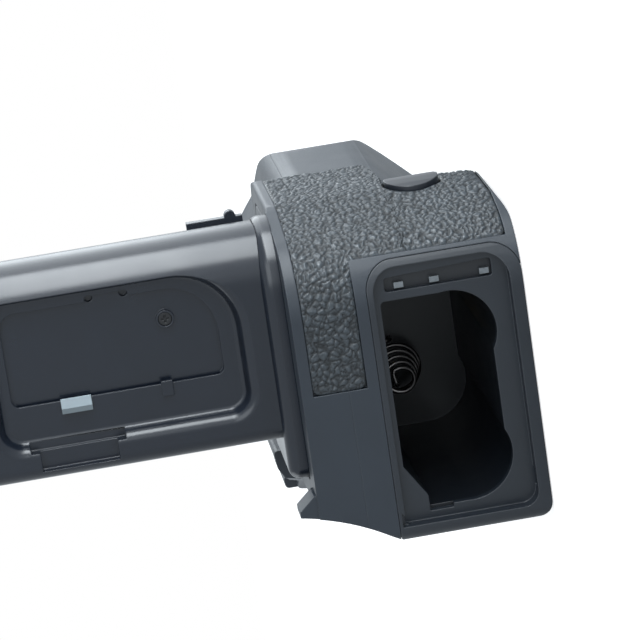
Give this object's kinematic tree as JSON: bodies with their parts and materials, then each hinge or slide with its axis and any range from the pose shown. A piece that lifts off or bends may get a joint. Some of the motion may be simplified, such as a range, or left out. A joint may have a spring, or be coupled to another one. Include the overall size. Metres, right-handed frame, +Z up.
{
  "type": "camera battery grip",
  "caption": "Vertical battery grip that screws under a camera, with a tower for the battery room, an open battery chamber, a pebbled hand grip and a shutter button.",
  "frame": {"origin": "on the axis of the camera stud, at the face that meets the camera", "axes": "+X towards the hand-grip end, +Y towards the front (lens side), +Z up into the camera"},
  "size_m": [0.126, 0.0657, 0.1075],
  "materials": {
    "casing": "fine textured black moulding",
    "inner": "smooth black moulding",
    "covering": "pebbled black grip covering",
    "tower": "satin black moulding",
    "button": "satin black button",
    "steel": "bright steel",
    "dark_metal": "black oxide screw",
    "contact": "gold-plated contact",
    "gear": "machined gear",
    "nylon": "moulded pinion",
    "chassis": "pressed plate",
    "board": "circuit board"
  },
  "bodies": {
    "grip": {"upper_shell": "casing", "lower_shell": "casing", "top_plate": "casing", "end_bezel": "inner", "chamber_liner": "inner", "grip_leather": "covering", "tower_shell": "tower", "tower_back": "tower", "tower_collar": "casing", "tower_cap": "inner", "tower_contacts": "contact", "tower_board": "board", "tower_screws": "dark_metal", "door_catch": "steel", "recess_screw": "dark_metal", "chassis_plate": "chassis", "chassis_posts": "chassis", "locating_pin": "steel", "tripod_socket": "steel", "shutter_guide": "inner", "shutter_switch": "inner", "control_board": "board", "dial_axle": "steel", "thumb_bracket": "inner", "focus_switch": "inner", "main_board": "board", "contact_spring": "steel", "chamber_contact": "contact", "latch_bar": "steel", "shell_screws": "dark_metal"},
    "shutter": {"shutter_button": "button"},
    "focus": {"focus_button": "button"},
    "dial": {"rear_dial": "button"},
    "lever": {"lock_lever": "button"},
    "wheel": {"attachment_wheel": "button", "wheel_pinion": "nylon", "wheel_shaft": "steel"},
    "stud": {"camera_stud": "steel", "stud_gear": "gear"}
  },
  "joints": [
    {"name": "shutter_press", "type": "slide", "parent": "grip", "child": "shutter", "axis": [0, -1, 0], "range_m": [0, 0.0008], "stiffness_N_per_m": 1000},
    {"name": "focus_press", "type": "slide", "parent": "grip", "child": "focus", "axis": [0, 0.9063, -0.4226], "range_m": [0, 0.0007], "stiffness_N_per_m": 1000},
    {"name": "dial_turn", "type": "hinge", "parent": "grip", "child": "dial", "pos_m": [0.0505, -0.01492, -0.00833], "axis": [1, 0, 0], "continuous": true},
    {"name": "lever_turn", "type": "hinge", "parent": "grip", "child": "lever", "pos_m": [0.0223, -0.0229, -0.006], "axis": [0, 1, 0], "range_deg": [0, 40]},
    {"name": "wheel_turn", "type": "hinge", "parent": "grip", "child": "wheel", "pos_m": [-0.00458, -0.0127, -0.012], "axis": [0, 0, 1], "continuous": true},
    {"name": "stud_turn", "type": "hinge", "parent": "grip", "child": "stud", "pos_m": [0, 0, 0], "axis": [0, 0, 1], "continuous": true}
  ],
  "couplings": [
    {"joint": "stud_turn", "follows": "wheel_turn", "ratio": -0.8}
  ]
}
